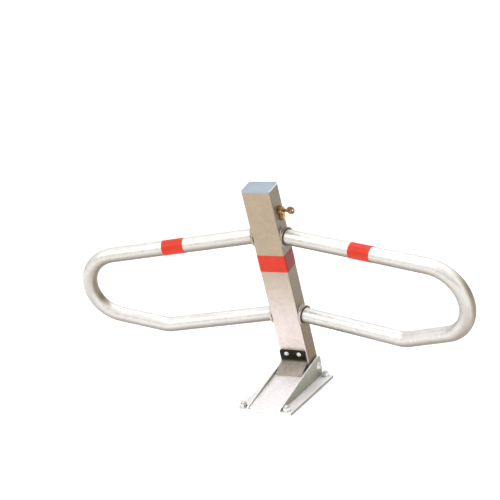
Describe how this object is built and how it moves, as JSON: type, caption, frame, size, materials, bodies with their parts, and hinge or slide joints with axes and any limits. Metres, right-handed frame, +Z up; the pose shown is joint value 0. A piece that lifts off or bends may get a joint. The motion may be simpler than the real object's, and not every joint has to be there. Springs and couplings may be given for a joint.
{
  "type": "folding parking lock",
  "caption": "Fold-down parking barrier: a leaning steel post on a hinge base, with bent-tube wings to both sides, reflective bands and a keyed latch rod.",
  "frame": {"origin": "on the ground, at the centre of the four anchor holes", "axes": "+X to the right across the parking space, -Y to the front (the ramp side), +Z up"},
  "size_m": [0.829, 0.2, 0.4275],
  "materials": {
    "galvanised_steel": "satin galvanised sheet",
    "galvanised_post": "satin galvanised tube",
    "galvanised_tube": "satin galvanised tube with soft streaks",
    "cap_steel": "satin galvanised sheet, cooler in tone",
    "dark_steel": "dark baked coating, worn along the edges",
    "zinc_fasteners": "bright zinc plate",
    "black_nylon": "matt moulded nylon",
    "reflective_red": "reflective film with a fine cell pattern",
    "lock_brass": "drawn brass, slightly dull",
    "key_brass": "stamped brass, handled"
  },
  "bodies": {
    "base": {"base_plate": "galvanised_steel", "left_cheek": "galvanised_steel", "right_cheek": "galvanised_steel", "ramp_panel": "galvanised_steel", "bolt_keeper": "galvanised_steel", "anchor_washers": "zinc_fasteners", "anchor_nuts": "zinc_fasteners", "pivot_pin": "zinc_fasteners", "pivot_nut": "zinc_fasteners", "thrust_washers": "black_nylon"},
    "post": {"post_tube": "galvanised_post", "post_cap": "cap_steel", "pivot_sleeve": "galvanised_post", "front_guard": "dark_steel", "guard_screws": "zinc_fasteners", "guard_nuts": "zinc_fasteners", "post_band": "reflective_red", "left_collars": "galvanised_post", "right_collars": "galvanised_post", "left_bushes": "black_nylon", "right_bushes": "black_nylon", "left_wing": "galvanised_tube", "right_wing": "galvanised_tube", "left_wing_band": "reflective_red", "right_wing_band": "reflective_red", "wing_screws": "zinc_fasteners", "upper_rod_guide": "galvanised_post", "lower_rod_guide": "galvanised_post", "lock_cylinder": "lock_brass", "lock_screw": "zinc_fasteners"},
    "latch": {"latch_rod": "zinc_fasteners", "rod_yoke": "zinc_fasteners"},
    "plug": {"lock_plug": "lock_brass", "lock_cam": "zinc_fasteners"},
    "key": {"key": "key_brass"}
  },
  "joints": [
    {"name": "post_fold", "type": "hinge", "parent": "base", "child": "post", "pos_m": [0, 0.083, 0.028], "axis": [-1, 0, 0], "range_deg": [0, 104]},
    {"name": "key_turn", "type": "hinge", "parent": "post", "child": "plug", "pos_m": [0, -0.00205, 0.3737], "axis": [1, 0, 0], "range_deg": [0, 90]},
    {"name": "bolt_slide", "type": "slide", "parent": "post", "child": "latch", "axis": [0, 0.2334, -0.9724], "range_m": [0, 0.01273]},
    {"name": "key_slide", "type": "slide", "parent": "plug", "child": "key", "axis": [1, 0, 0], "range_m": [0, 0.03]}
  ],
  "couplings": [
    {"joint": "key_turn", "follows": "bolt_slide", "rad_per_m": 123.41}
  ]
}
